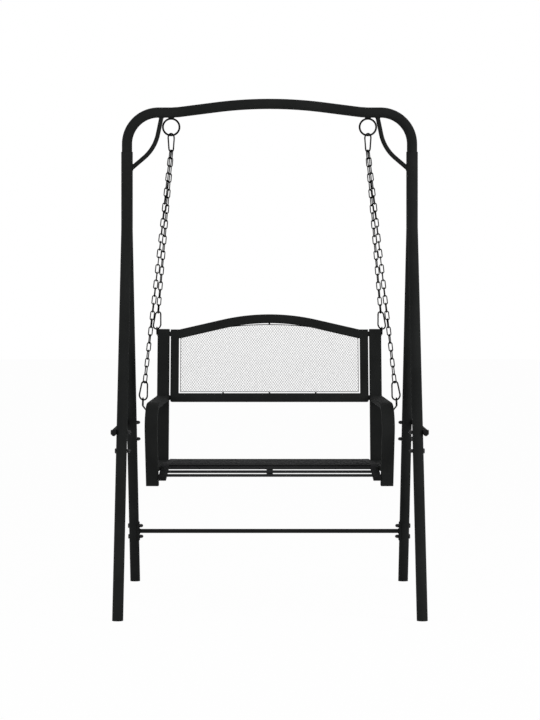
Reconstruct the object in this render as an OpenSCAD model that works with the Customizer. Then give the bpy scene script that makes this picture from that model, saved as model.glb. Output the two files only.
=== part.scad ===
// Porch swing: a two-seat bench hung by chains from an A-frame stand.
// +Z is up, the sitter faces -Y, and the origin is on the ground under the middle of the stand.
// All lengths are in millimetres and all angles in degrees.

/* [Stand] */
// Distance between the left and right leg axes
stand_w = 1042; // [980:2:1120]
// Distance between the front and rear leg axes on the ground
foot_spread = 1095; // [1000:5:1200]
// Depth of the point where the leg axes meet below the bar's axis
leg_meet_drop = 328; // [318:2:340]
// Outside diameter of the legs and the top bar
leg_d = 38; // [37:0.2:38.4]
// Wall of the leg and top bar tubes
leg_wall = 1.5; // [1.2:0.1:2]
// Height of the seam between upper and lower leg
leg_seam_z = 540; // [500:5:550]
// Height of the upper leg bolts, which also hold the side stretchers
stretcher_z = 630; // [620:2:650]
// Height of the lower leg bolts
leg_bolt_z = 566; // [560:1:580]
// Length of the swaged neck above the seam
neck_len = 130; // [125:1:150]
// Thickness of the foot plug under the tube
foot_flange = 3; // [2:0.5:5]
// Depth of a foot plug inside the tube
foot_plug = 25; // [15:1:35]

/* [Top bar] */
// Height of the bar's axis at the shoulders
bar_z = 1780; // [1760:2:1800]
// Bend radius of the corners, on the axis
bar_bend = 115; // [105:1:125]
// Distance from the middle to the kink where the arch begins
kink_x = 345; // [330:1:350]
// Slope of the straight part of the arch
arch_slope = 7.3; // [5:0.1:9]
// Radius of the arch, on the axis
arch_r = 1540; // [1300:10:1700]

/* [Leg heads] */
// Depth of the sleeves' top ends below the bar's axis
sleeve_drop = 144; // [140:1:150]
// Length of the sleeves
sleeve_len = 278; // [268:1:284]
// Wall of the sleeve
sleeve_wall = 2; // [1.5:0.1:2.5]
// Length of bar inside the sleeve
bar_insert = 120; // [80:2:130]
// Radius of the corner brace's bend, on its axis
brace_r = 155; // [145:1:165]
// Diameter of the corner brace
brace_d = 16; // [14:0.5:16]
// Where the brace meets the bar, from the middle
brace_top_x = 395.5; // [395.3:0.1:397]
// Direction of the brace at the bar, measured from the vertical
brace_top_lean = 11.8; // [11.6:0.1:13]
// Length of the brace's straight part, below the bar
brace_straight = 61.5; // [58:0.5:65]
// Angle that the brace turns through
brace_turn = 37.8; // [34:0.2:42]

/* [Stretchers] */
// Height of the flat-oval side stretcher
stretcher_h = 25; // [22:1:28]
// Thickness of the side stretcher
stretcher_t = 16; // [14:1:18]
// Length that the stretcher passes beyond a leg's axis
stretcher_over = 22; // [20:1:30]
// Length of a stretcher's end cap
stretcher_cap = 4; // [3:0.5:6]
// Height of the rear crossbar
crossbar_z = 202; // [180:2:240]
// Diameter of the rear crossbar
crossbar_d = 16; // [14:1:20]
// Length of a saddle plate along the leg
saddle_len = 72; // [68:1:80]
// Thickness of a saddle plate
saddle_t = 3; // [2:0.5:3]
// Distance between the two bolts of a saddle
saddle_pitch = 43; // [40:1:48]

/* [Fasteners] */
// Bolt diameter
bolt_d = 8; // [6:0.5:8]
// Diameter of a flat bolt head
head_d = 18; // [16:0.5:20]
// Thickness of a flat bolt head
head_t = 4; // [2:0.5:4]
// Width of a dome nut across its flats
nut_w = 13; // [13:0.5:15]
// Height of the nut's hexagon
nut_h = 7; // [6:0.5:8]
// Height of the dome on a nut
dome_h = 6; // [5:0.5:7]

/* [Rings and hooks] */
// Distance of the eye rings from the middle
ring_x = 359.5; // [359:0.5:362]
// Mean radius of an eye ring
ring_r = 30.3; // [30:0.1:30.5]
// Wire diameter of an eye ring
ring_wire = 7; // [6:0.1:7]
// Length of a snap hook
hook_len = 72; // [70:1:80]
// Width of a snap hook at its wide end
hook_w = 38; // [37:0.5:40]
// Width of a hook's narrow end
hook_narrow = 30; // [28:0.5:31]
// Wire diameter of a snap hook
hook_wire = 5.5; // [5:0.1:5.5]
// Turn of the upper hooks away from the ring's plane
hook_turn = 50; // [48:1:60]
// Turn of the hooks at the arms
front_hook_turn = 33; // [28:1:34]
// Turn of the hooks at the post tops
rear_hook_turn = 36; // [30:1:37]

/* [Chains] */
// Distance from one link to the next, before the count is rounded
link_pitch = 29.15; // [28:0.05:31]
// Outside width of a link
link_w = 17.5; // [17:0.1:18.5]
// Wire diameter of a link
link_wire = 4; // [3.5:0.1:4]
// Play where two links meet
link_play = 0.1; // [0.05:0.01:0.2]
// Sideways place of each chain on the upper hook
chain_side = 3.2; // [3.1:0.05:3.4]

/* [Bench frame] */
// Width of the flat side tubes, seen from the front
tube_w = 45; // [40:0.5:46]
// Thickness of the flat side tubes
tube_t = 20; // [18:0.5:22]
// Wall of the flat side tubes
tube_wall = 1.5; // [1.2:0.1:2]
// Corner radius of the flat side tubes
tube_r = 3; // [2.5:0.25:3.5]
// Distance between the middles of the two back posts
post_spread = 788.6; // [780:0.2:800]
// Where the post's axis starts at the bottom of the side tube
post_foot_y = 73.8; // [70:0.2:78]
// Backward lean of the back posts
recline = 11.7; // [10:0.1:13]
// Length of a back post along its axis
post_len = 507.6; // [500:0.2:515]
// Underside of the lower side tubes
side_z = 485; // [480:1:490]
// Height of the arm's axis at the post
arm_z = 731; // [720:1:740]
// Forward reach of the arm, from the post to its foremost face
arm_reach = 394; // [385:1:400]
// Outward turn of the arms, seen from above
arm_splay = 3.85; // [3.5:0.05:4.2]
// Fall of the arm towards the front
arm_fall = 2.1; // [1:0.1:3]
// Bend radius of the arm, on its axis
arm_bend = 77; // [70:1:85]
// Backward slope of the front leg of the arm
arm_leg_lean = 12.5; // [10:0.5:14]
// Lower end of the front leg of the arm
arm_leg_z = 438; // [430:1:450]

/* [Seat] */
// Top of the seat
seat_z = 507; // [502:0.5:510]
// Rear edge of the rearmost slat
seat_rear_y = 97; // [95:0.5:100]
// Number of slats
slat_n = 12; // [11:1:12]
// Width of a slat
slat_w = 20; // [18:0.5:21]
// Gap between two slats
slat_gap = 10; // [9:0.5:12]
// Thickness of a slat
slat_t = 2; // [1.5:0.1:3]
// Radius of the roll at the front of the seat
roll_r = 110; // [90:1:130]
// Slope of the front of the seat
roll_slope = 22; // [18:0.5:24]
// Length of the sloping front beyond the roll
front_run = 79; // [70:1:85]
// Width of a seat rail
rail_w = 28; // [25:0.5:30]
// Height of the seat rails and the rear beam
rail_h = 16; // [15:0.5:20]
// Width of the centre support
centre_w = 23; // [20:0.5:28]
// Height of the centre support
centre_h = 14; // [12:0.5:16]
// How far the centre support stops short of the seat's front edge
centre_short = 30; // [25:1:45]
// Width of the strap across the seat's bend
strap_w = 30; // [28:0.5:32]
// Thickness of the strap
strap_t = 4; // [3:0.5:5]
// Width of the rear seat beam
beam_w = 25; // [20:0.5:26]

/* [Back] */
// Width of the gap between the back frame and each post
back_gap = 4; // [3:0.1:6]
// Width of the back frame's members, seen from the front
back_face = 31; // [28:0.5:34]
// Depth of the back frame's members
back_depth = 20; // [16:0.5:20]
// Lower edge of the back frame, along the post
back_low = 237; // [230:1:245]
// Top corner of the back frame, along the post
back_top = 508.5; // [500:0.5:510]
// Outside radius of the arch in the top rail
back_arch_r = 770; // [700:5:850]
// Half the width of the arch
back_arch_x = 175; // [160:1:185]
// Where the slope of the top rail ends
back_shoulder_x = 335; // [325:1:340]
// Corner radius at the foot of the back frame
back_corner_r = 6; // [4:0.5:8]
// Width of one diamond of the mesh
mesh_cell_w = 27.3; // [24:0.1:36]
// Height of one diamond of the mesh
mesh_cell_h = 36.3; // [32:0.1:48]
// Width of the strands of the mesh
mesh_strand = 2; // [1.5:0.1:3]
// Thickness of the mesh
mesh_t = 1.2; // [1:0.1:2]
// Distance of the border wire from the frame
border_inset = 6.5; // [5:0.1:8]
// Diameter of the border wire
border_d = 3; // [2.5:0.1:4]
// Width of a tab
tab_w = 6; // [4:0.5:8]

/* [Fits] */
// Gap between parts that are seated on each other
seat_gap = 0.2; // [0.1:0.05:0.3]
// Gap between a hook and what it hangs on
hang_gap = 0.3; // [0.3:0.05:0.4]
// Radial play of a gate on its pin
pin_play = 0.05; // [0.02:0.01:0.08]

/* [Hidden] */
leg_meet_z = bar_z - leg_meet_drop;
sleeve_top = bar_z - sleeve_drop;
sleeve_bottom = sleeve_top - sleeve_len;
back_half_w = post_spread / 2 - tube_w / 2 - back_gap;
$fn = 48;
black = [0.14, 0.145, 0.14];
seat_black = [0.17, 0.17, 0.18];
dark = [0.1, 0.1, 0.1];
// Collars close the joints between bends and straights.
collar_len = 2;
collar_proud = 0.05;
// Gap at a butt weld between tubes.
weld_gap = 0.05;
// Length that tubes run past a mitre before it is cut.
mitre_room = 3;

// ---- stand ----
leg_x = stand_w / 2;
leg_lean = atan(foot_spread / 2 / leg_meet_z);
leg_r = leg_d / 2;
bore_r = leg_r - leg_wall;
sleeve_in = leg_r + seat_gap;
sleeve_r = sleeve_in + sleeve_wall;
neck_r = bore_r - seat_gap;

// Runs its children for the left and the right side; the right one is the mirror image.
module pair() {
    for (side = [-1, 1])
        mirrored(side) children();
}
module mirrored(side) {
    if (side < 0) children();
    else mirror([1, 0, 0]) children();
}

// Leg frame of the left side: the origin is where the leg axes meet, and -Z runs down the leg.
module leg_frame(fore) {
    translate([-leg_x, 0, leg_meet_z]) rotate([fore * leg_lean, 0, 0]) children();
}
function leg_run(z) = (leg_meet_z - z) / cos(leg_lean);
function leg_y(z) = (leg_meet_z - z) * tan(leg_lean);

module x_hole(x, y, z, len, d) {
    translate([x - len / 2, y, z]) rotate([0, 90, 0]) cylinder(h = len, d = d);
}
module leg_holes(fore, zs) {
    for (z = zs) x_hole(-leg_x, fore * leg_y(z), z, leg_d * 2, bolt_d + 2 * seat_gap);
}
module sleeve_shape(r) {
    translate([-leg_x, 0, sleeve_bottom]) cylinder(h = sleeve_top - sleeve_bottom, r = r);
}
module upper_leg(fore) {
    color(black) difference() {
        leg_frame(fore) translate([0, 0, -leg_run(leg_seam_z)]) difference() {
            cylinder(h = leg_run(leg_seam_z), r = leg_r);
            translate([0, 0, -1]) cylinder(h = leg_run(leg_seam_z) + 2, r = bore_r);
        }
        sleeve_shape(sleeve_r);
        leg_holes(fore, [stretcher_z, leg_bolt_z]);
    }
}
module lower_leg(fore) {
    seam = leg_run(leg_seam_z);
    foot = leg_run(0);
    saddle_holes = fore > 0 ? [crossbar_z - saddle_pitch / 2, crossbar_z + saddle_pitch / 2] : [];
    color(black) difference() {
        leg_frame(fore) {
            translate([0, 0, -foot - leg_r]) difference() {
                cylinder(h = foot + leg_r - seam - seat_gap, r = leg_r);
                translate([0, 0, -1]) cylinder(h = foot + leg_r - seam - leg_wall, r = bore_r);
            }
            translate([0, 0, -seam - seat_gap]) difference() {
                cylinder(h = neck_len, r = neck_r);
                translate([0, 0, -leg_wall - 1]) cylinder(h = neck_len + 4, r = neck_r - leg_wall);
            }
        }
        translate([-leg_x, fore * foot_spread / 2, foot_flange - leg_d])
            cube([leg_d * 2, leg_d * 3, leg_d * 2], center = true);
        leg_holes(fore, concat([stretcher_z, leg_bolt_z], saddle_holes));
    }
}
module foot_plug(fore) {
    intersection() {
        leg_frame(fore) translate([0, 0, -leg_run(0) - leg_r]) cylinder(h = leg_r * 3, r = leg_r);
        translate([-leg_x, fore * foot_spread / 2, foot_flange / 2])
            cube([leg_d * 2, leg_d * 3, foot_flange], center = true);
    }
    intersection() {
        leg_frame(fore) translate([0, 0, -leg_run(0) - leg_r]) cylinder(h = foot_plug * 2, r = bore_r - seat_gap);
        translate([-leg_x, fore * foot_spread / 2, foot_flange + foot_plug / 2])
            cube([leg_d * 2, leg_d * 3, foot_plug], center = true);
    }
}
module foot_plugs() {
    color(dark) pair() for (fore = [-1, 1]) foot_plug(fore);
}

// ---- top bar ----
corner_x = leg_x - bar_bend;
arch_x = arch_r * sin(arch_slope);
arch_start_z = bar_z + (kink_x - arch_x) * tan(arch_slope);
arch_centre_z = arch_start_z - arch_r * cos(arch_slope);
slope_len = (kink_x - arch_x) / cos(arch_slope);

// A piece of bend in the X-Z plane about a centre, from one angle to another.
module bend(x, z, r, from, to, tube) {
    translate([x, 0, z]) rotate([90, 0, 0]) rotate([0, 0, from])
        rotate_extrude(angle = to - from, $fn = 72) translate([r, 0]) circle(r = tube, $fn = 36);
}
module run(x, z, dir, len, tube) {
    translate([x, 0, z]) rotate([0, 90 - dir, 0]) cylinder(h = len, r = tube, $fn = 36);
}
module shoulder(tube, extra) {
    insert_z = sleeve_top - bar_insert - extra;
    translate([-leg_x, 0, insert_z]) cylinder(h = bar_z - bar_bend - insert_z, r = tube, $fn = 36);
    bend(-corner_x, bar_z - bar_bend, bar_bend, 90, 180, tube);
    run(-corner_x, bar_z, 0, corner_x - kink_x + mitre_room + extra, tube);
}
module slope(tube, extra) {
    reach = mitre_room + extra;
    translate([-kink_x, 0, bar_z]) rotate([0, 90 - arch_slope, 0]) translate([0, 0, -reach])
        cylinder(h = slope_len - weld_gap + reach + extra, r = tube, $fn = 36);
}
// The space past the mitre at the kink, toward the middle or toward the leg.
module past_kink(side) {
    translate([-kink_x, 0, bar_z]) rotate([0, -arch_slope / 2, 0])
        translate([side * (leg_d - weld_gap / 2), 0, 0]) cube(2 * leg_d, center = true);
}
// The bar is five pieces welded end to end: two shoulders, two slopes and the crown between them.
module top_bar() {
    color(black) {
        pair() {
            difference() {
                shoulder(leg_r, 0);
                shoulder(bore_r, 1);
                past_kink(1);
            }
            difference() {
                slope(leg_r, 0);
                slope(bore_r, 1);
                past_kink(-1);
            }
        }
        translate([0, 0, arch_centre_z]) rotate([90, 0, 0]) rotate([0, 0, 90 - arch_slope])
            rotate_extrude(angle = 2 * arch_slope, $fn = 480) translate([arch_r, 0]) difference() {
                circle(r = leg_r, $fn = 36);
                circle(r = bore_r, $fn = 36);
            }
    }
}
module leg_head() {
    color(black) difference() {
        sleeve_shape(sleeve_r);
        translate([-leg_x, 0, sleeve_bottom - 1]) cylinder(h = sleeve_top - sleeve_bottom + 2, r = sleeve_in);
    }
}
// The brace is built in the frame of its upper straight, whose -Z runs down from the bar.
brace_end_x = leg_x - sleeve_in;
brace_bend_x = brace_top_x + brace_straight * sin(brace_top_lean)
    + brace_r * (cos(brace_top_lean) - cos(brace_top_lean + brace_turn));
brace_tail = (brace_end_x - brace_bend_x) / sin(brace_top_lean + brace_turn) + brace_d / 2;
module corner_brace() {
    color(black) difference() {
        translate([-brace_top_x, 0, bar_z - leg_r]) rotate([0, brace_top_lean, 0]) {
            translate([0, 0, -brace_straight]) cylinder(h = brace_straight + leg_r / 2, d = brace_d, $fn = 36);
            translate([0, 0, -brace_straight - collar_len / 2])
                cylinder(h = collar_len, d = brace_d + 2 * collar_proud, $fn = 36);
            translate([-brace_r, 0, -brace_straight]) rotate([-90, 0, 0])
                rotate_extrude(angle = brace_turn, $fn = 72) translate([brace_r, 0]) circle(d = brace_d, $fn = 36);
            translate([-brace_r, 0, -brace_straight]) rotate([0, brace_turn, 0]) translate([brace_r, 0, -brace_tail]) {
                cylinder(h = brace_tail, d = brace_d, $fn = 36);
                translate([0, 0, brace_tail - collar_len / 2])
                    cylinder(h = collar_len, d = brace_d + 2 * collar_proud, $fn = 36);
            }
        }
        translate([-leg_x, 0, sleeve_bottom]) cylinder(h = sleeve_top - sleeve_bottom, r = sleeve_r);
        run(-leg_x, bar_z, 0, leg_x, leg_r);
    }
}

// ---- eye rings ----
ring_z = bar_z - leg_r - seat_gap - ring_wire / 2 - ring_r;
pivot_z = ring_z - ring_r;
module ring_shape() {
    translate([-ring_x, 0, ring_z]) rotate([90, 0, 0])
        rotate_extrude($fn = 96) translate([ring_r, 0]) circle(d = ring_wire, $fn = 32);
}
module eye_rings() {
    color(black) pair() ring_shape();
}

// ---- side stretchers and rear crossbar ----
// Points of a rectangle with rounded corners, centred on the origin.
function rounded(w, h, r, n = 5) = [
    for (q = [0:3], i = [0:n])
        let (a = 90 * (q + i / n), sx = (q == 0 || q == 3) ? 1 : -1, sy = q < 2 ? 1 : -1)
            [sx * (w / 2 - r) + r * cos(a), sy * (h / 2 - r) + r * sin(a)]
];
module rounded_tube(w, h, r, wall, len) {
    linear_extrude(len) difference() {
        polygon(rounded(w, h, r));
        polygon(rounded(w - 2 * wall, h - 2 * wall, max(r - wall, 0.5)));
    }
}
stretcher_x = leg_x + leg_r + seat_gap + stretcher_t / 2;
stretcher_half = leg_y(stretcher_z) + stretcher_over;
stretcher_r = stretcher_t / 2 - 0.1;
stretcher_wall = leg_wall;
module side_stretcher() {
    color(black) difference() {
        translate([-stretcher_x, stretcher_half, stretcher_z]) rotate([90, 0, 0])
            rounded_tube(stretcher_t, stretcher_h, stretcher_r, stretcher_wall, 2 * stretcher_half);
        for (fore = [-1, 1])
            x_hole(-stretcher_x, fore * leg_y(stretcher_z), stretcher_z, stretcher_t * 2, bolt_d + 2 * seat_gap);
    }
}
module stretcher_cap() {
    inset = 2 * (stretcher_wall + seat_gap);
    translate([0, 0, seat_gap]) linear_extrude(stretcher_cap)
        polygon(rounded(stretcher_t, stretcher_h, stretcher_r));
    translate([0, 0, -3 * stretcher_cap]) linear_extrude(3 * stretcher_cap + seat_gap)
        polygon(rounded(stretcher_t - inset, stretcher_h - inset, stretcher_r - inset / 2));
}
module stretcher_caps() {
    color(dark) pair() for (fore = [-1, 1])
        translate([-stretcher_x, fore * stretcher_half, stretcher_z]) rotate([-90 * fore, 0, 0]) stretcher_cap();
}
saddle_in = leg_r + seat_gap;
saddle_out = saddle_in + saddle_t;
saddle_arc = 100;
crossbar_y = leg_y(crossbar_z);
module saddle() {
    difference() {
        leg_frame(1) translate([0, 0, -leg_run(crossbar_z) - saddle_len / 2])
            rotate([0, 0, -saddle_arc / 2]) rotate_extrude(angle = saddle_arc, $fn = 96)
                translate([saddle_in, 0]) square([saddle_t, saddle_len]);
        for (dz = [-1, 1] * saddle_pitch / 2)
            x_hole(-leg_x, leg_y(crossbar_z + dz), crossbar_z + dz, leg_d * 2, bolt_d + 2 * seat_gap);
    }
}
module crossbar_saddles() {
    color(black) pair() saddle();
}
module rear_crossbar() {
    half = leg_x - leg_r;
    color(black) difference() {
        x_hole(0, crossbar_y, crossbar_z, 2 * half, crossbar_d);
        x_hole(0, crossbar_y, crossbar_z, 2 * half + 2, crossbar_d - 2 * leg_wall);
        pair() leg_frame(1) translate([0, 0, -leg_run(crossbar_z) - saddle_len])
            cylinder(h = 2 * saddle_len, r = saddle_out + seat_gap, $fn = 96);
    }
}

// ---- fasteners of the stand ----
// Each entry: front or rear, height, what the head sits on beyond the leg, what the nut sits on.
bolts = concat(
    [for (fore = [-1, 1]) [fore, stretcher_z, stretcher_t + seat_gap, 0]],
    [for (fore = [-1, 1]) [fore, leg_bolt_z, 0, 0]],
    [for (dz = [-1, 1]) [1, crossbar_z + dz * saddle_pitch / 2, 0, saddle_t + seat_gap]]
);
module flat_head(t) {
    cylinder(h = t * 0.5, d = head_d);
    translate([0, 0, t * 0.5]) cylinder(h = t * 0.5, d1 = head_d, d2 = head_d * 0.7);
}
module stand_bolt(b) {
    outer = leg_x + leg_r + b[2] + seat_gap;
    inner = leg_x - leg_r - b[3] - nut_h;
    translate([0, b[0] * leg_y(b[1]), b[1]]) {
        translate([-outer, 0, 0]) rotate([0, 90, 0]) cylinder(h = outer - inner, d = bolt_d);
        translate([-outer, 0, 0]) rotate([0, -90, 0]) flat_head(head_t);
    }
}
module dome_nut(len) {
    difference() {
        union() {
            cylinder(h = nut_h, d = nut_w / cos(30), $fn = 6);
            translate([0, 0, nut_h]) cylinder(h = dome_h * 0.5, d = nut_w * 0.92);
            translate([0, 0, nut_h + dome_h * 0.5]) cylinder(h = dome_h * 0.5, d1 = nut_w * 0.92, d2 = nut_w * 0.45);
        }
        translate([0, 0, -1]) cylinder(h = len + 1, d = bolt_d + 2 * pin_play);
    }
}
module stand_dome_nut(b) {
    inner = leg_x - leg_r - b[3] - seat_gap;
    translate([-inner, b[0] * leg_y(b[1]), b[1]]) rotate([0, 90, 0]) dome_nut(nut_h);
}
module stand_bolts() {
    color(dark) pair() for (b = bolts) stand_bolt(b);
}
module stand_dome_nuts() {
    color(dark) pair() for (b = bolts) stand_dome_nut(b);
}

// ---- bench frame ----
post_x = post_spread / 2;

// Post frame of the left side: Z runs up the post from the underside of the side tube.
module post_frame() {
    translate([-post_x, post_foot_y, side_z]) rotate([-recline, 0, 0]) children();
}
module flat_tube(len) {
    rounded_tube(tube_w, tube_t, tube_r, tube_wall, len);
}
module back_post() {
    color(black) difference() {
        post_frame() flat_tube(post_len);
        for (v = back_bolt_v) post_frame()
            translate([-tube_w, 0, v]) rotate([0, 90, 0]) cylinder(h = 2 * tube_w, d = small_bolt_d + 2 * seat_gap);
        arm_bolt_hole();
    }
}
function post_y(z) = post_foot_y + (z - side_z) * tan(recline);
function post_front_y(z) = post_y(z) - tube_t / 2 / cos(recline);

// Arm frame of the left side: the origin is on the post's front face, and -Y runs forward.
arm_y = post_front_y(arm_z);
module arm_frame() {
    translate([-post_x, arm_y, arm_z]) rotate([0, 0, -arm_splay]) children();
}
bend_y = -(arm_reach - tube_t / 2 - arm_bend);
arm_run = (arm_bend * sin(arm_fall) - bend_y) / cos(arm_fall);
bend_z = -arm_run * sin(arm_fall) - arm_bend * cos(arm_fall);
arm_turn = 90 - arm_fall + arm_leg_lean;
leg_top_y = bend_y - arm_bend * cos(arm_leg_lean);
leg_top_z = bend_z - arm_bend * sin(arm_leg_lean);
arm_leg_len = (arm_z + leg_top_z - arm_leg_z) / cos(arm_leg_lean);

// A flat tube that runs forward along -Y, bends downward and runs on; wall and extra shrink and lengthen it.
module bent_bar(w, t, r, first, radius, turn, last, wall = 0, extra = 0) {
    outline = rounded(w - 2 * wall, t - 2 * wall, max(r - wall, 0.5));
    grow = 2 * collar_proud;
    rotate([90, 0, 0]) translate([0, 0, -extra]) linear_extrude(first + extra) polygon(outline);
    translate([0, -first, -radius]) {
        rotate([90, 0, 90]) rotate([0, 0, 90]) rotate_extrude(angle = turn, $fn = 96)
            translate([radius, 0]) rotate(90) polygon(outline);
        rotate([turn, 0, 0]) translate([0, 0, radius]) rotate([90, 0, 0]) {
            linear_extrude(last + extra) polygon(outline);
            translate([0, 0, -collar_len / 2]) linear_extrude(collar_len)
                polygon(rounded(w - 2 * wall + grow, t - 2 * wall + grow, max(r - wall, 0.5) + collar_proud));
        }
    }
}
module arm_shape(wall, extra) {
    arm_frame() rotate([arm_fall, 0, 0])
        bent_bar(tube_w, tube_t, tube_r, arm_run, arm_bend, arm_turn, arm_leg_len, wall, extra);
}
// Everything behind the plane of the post's front face, where the arm and the side tube are cut.
module behind_post() {
    post_frame() translate([-tube_w, -tube_t / 2 - seat_gap, -tube_w])
        cube([2 * tube_w, 2 * tube_t, post_len + tube_w]);
}
module arm() {
    color(black) difference() {
        arm_shape(0, 0);
        arm_shape(tube_wall, 1);
        behind_post();
    }
}

// Side frame of the left side: the origin is on the post's front face at ground level, -Y runs forward.
side_mid_z = side_z + tube_t / 2;
side_y = post_front_y(side_mid_z);
leg_rear_local = leg_top_y + (arm_z + leg_top_z - side_mid_z) * tan(arm_leg_lean)
    + tube_t / 2 / cos(arm_leg_lean);
leg_rear_x = post_x - leg_rear_local * sin(arm_splay);
leg_rear_y = arm_y + leg_rear_local * cos(arm_splay);
side_splay = atan((leg_rear_x - post_x) / (side_y - leg_rear_y));
side_len = (side_y - leg_rear_y) / cos(side_splay);
module side_frame() {
    translate([-post_x, side_y, 0]) rotate([0, 0, -side_splay]) children();
}
// Everything ahead of the plane of the arm leg's rear face, where the side tube is cut.
module before_arm_leg() {
    arm_frame() translate([0, leg_top_y, leg_top_z]) rotate([180 + arm_leg_lean, 0, 0])
        translate([-tube_w, -tube_t / 2 - seat_gap, 0]) cube([2 * tube_w, 3 * tube_t, 2 * arm_leg_len]);
}
module side_tube() {
    reach = side_len + tube_t;
    color(black) difference() {
        side_frame() translate([0, tube_t / 2, side_mid_z]) rotate([90, 0, 0]) flat_tube(reach);
        behind_post();
        before_arm_leg();
        for (y = rail_bolt_y) side_frame() x_hole(0, y, rail_bolt_z, 2 * tube_w, small_bolt_d + 2 * seat_gap);
    }
}

// ---- seat ----
rail_gap = 2 * seat_gap;
rail_axis = tube_w / 2 + rail_gap + rail_w / 2;
roll_len = roll_r * roll_slope * PI / 180;
rail_rear = 4;
// The bolts go through where the side tube and the rail are both wide enough.
rail_bolt_z = (side_mid_z + seat_z - rail_h / 2) / 2;
rail_first = seat_rear_y + rail_rear - roll_y();
function roll_y() = seat_rear_y - (slat_n * (slat_w + slat_gap) - slat_gap - roll_len - front_run);
module rail_shape(wall, extra) {
    side_frame() translate([rail_axis, seat_rear_y + rail_rear - side_y, seat_z - rail_h / 2])
        bent_bar(rail_w, rail_h, tube_r, rail_first, roll_r - rail_h / 2, roll_slope, front_run, wall, extra);
}
module seat_rail() {
    color(seat_black) difference() {
        rail_shape(0, 0);
        rail_shape(tube_wall, 1);
        for (y = rail_bolt_y) side_frame() translate([rail_gap, y, rail_bolt_z])
            rotate([0, 90, 0]) cylinder(h = tube_w, d = small_bolt_d + 2 * seat_gap);
    }
}
// The space between the two rails' inner faces, seen from above.
function rail_in_x(y) = post_x + (side_y - y) * tan(side_splay) - (rail_axis + rail_w / 2) / cos(side_splay) - seat_gap;
module between_rails() {
    rear = seat_rear_y + tube_t;
    front = -2 * arm_reach;
    translate([0, 0, arm_leg_z]) linear_extrude(seat_z) polygon([
        [-rail_in_x(rear), rear], [rail_in_x(rear), rear], [rail_in_x(front), front], [-rail_in_x(front), front]
    ]);
}
// Runs its children at a distance s along the seat's surface, measured forward from its rear edge.
module on_surface(s) {
    flat = seat_rear_y - roll_y();
    turn = min(max(s - flat, 0) / roll_len, 1) * roll_slope;
    rest = max(s - flat - roll_len, 0);
    y = seat_rear_y - min(s, flat) - roll_r * sin(turn) - rest * cos(turn);
    z = seat_z - roll_r * (1 - cos(turn)) - rest * sin(turn);
    translate([0, y, z]) rotate([turn, 0, 0]) children();
}
module seat_slats() {
    color(seat_black) intersection() {
        union() {
            for (i = [0:slat_n - 1]) on_surface(i * (slat_w + slat_gap) + slat_w / 2)
                translate([-post_spread / 2, -slat_w / 2, -slat_t]) cube([post_spread, slat_w, slat_t]);
        }
        between_rails();
    }
}
under_slats = slat_t + 2 * seat_gap;
centre_rear_y = seat_rear_y - beam_w - seat_gap;
module centre_bar(wall, extra) {
    drop = under_slats + centre_h / 2;
    bent_bar(centre_w, centre_h, tube_r, centre_rear_y - roll_y(), roll_r - drop, roll_slope,
        front_run - centre_short, wall, extra);
}
module centre_support() {
    drop = under_slats + centre_h / 2;
    color(seat_black) difference() {
        translate([0, centre_rear_y, seat_z - drop]) difference() {
            centre_bar(0, 0);
            centre_bar(tube_wall, 1);
        }
        strap_space(seat_gap);
    }
}
// A flat strap under the bend carries the slats on either side of it: its share of the way around, and its air.
strap_share = 0.85;
strap_air = 0.3;
strap_s = seat_rear_y - roll_y() + roll_len * strap_share;
strap_gap = seat_gap + pow(strap_w / 2, 2) / (2 * roll_r) + strap_air;
module strap_space(room) {
    on_surface(strap_s) translate([-post_spread / 2, -strap_w / 2 - room, -slat_t - strap_gap - strap_t - room])
        cube([post_spread, strap_w + 2 * room, strap_t + 2 * room]);
}
module front_seat_strap() {
    color(seat_black) intersection() {
        strap_space(0);
        between_rails();
    }
}
module rear_seat_beam() {
    y = seat_rear_y - beam_w / 2;
    color(seat_black) intersection() {
        translate([-post_spread / 2, y, seat_z - under_slats + seat_gap - rail_h / 2]) rotate([90, 0, 90])
            rounded_tube(beam_w, rail_h, tube_r, tube_wall, post_spread);
        between_rails();
    }
}

// ---- back ----
// Back frame: X across, Z up along the posts, Y through the thickness.
module back_plane() {
    translate([0, post_foot_y, side_z]) rotate([-recline, 0, 0]) children();
}
module back_sheet(depth, mid = 0) {
    back_plane() translate([0, mid + depth / 2, 0]) rotate([90, 0, 0]) linear_extrude(depth) children();
}
arch_turn = asin(back_arch_x / back_arch_r);
back_arch_v = back_top + (back_shoulder_x - back_arch_x) * tan(arch_turn) - back_arch_r * cos(arch_turn);
// Outline of the back frame, moved inward by a distance.
function back_outline(d, corner = back_corner_r, n = 24) = concat(
    [for (i = [0:4]) [-back_half_w + d + corner * (1 - sin(22.5 * i)), back_low + d + corner * (1 - cos(22.5 * i))]],
    [[-back_half_w + d, back_top - d], [-back_shoulder_x + d * tan(arch_turn / 2), back_top - d]],
    [for (i = [0:n]) let (a = arch_turn * (2 * i / n - 1))
        [(back_arch_r - d) * sin(a), back_arch_v + (back_arch_r - d) * cos(a)]],
    [[back_shoulder_x - d * tan(arch_turn / 2), back_top - d], [back_half_w - d, back_top - d]],
    [for (i = [4:-1:0]) [back_half_w - d - corner * (1 - sin(22.5 * i)), back_low + d + corner * (1 - cos(22.5 * i))]]
);
module ring_sheet(outer, inner) {
    difference() {
        polygon(back_outline(outer, back_corner_r - min(outer, back_corner_r - 0.5)));
        polygon(back_outline(inner, 0.5));
    }
}
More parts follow.
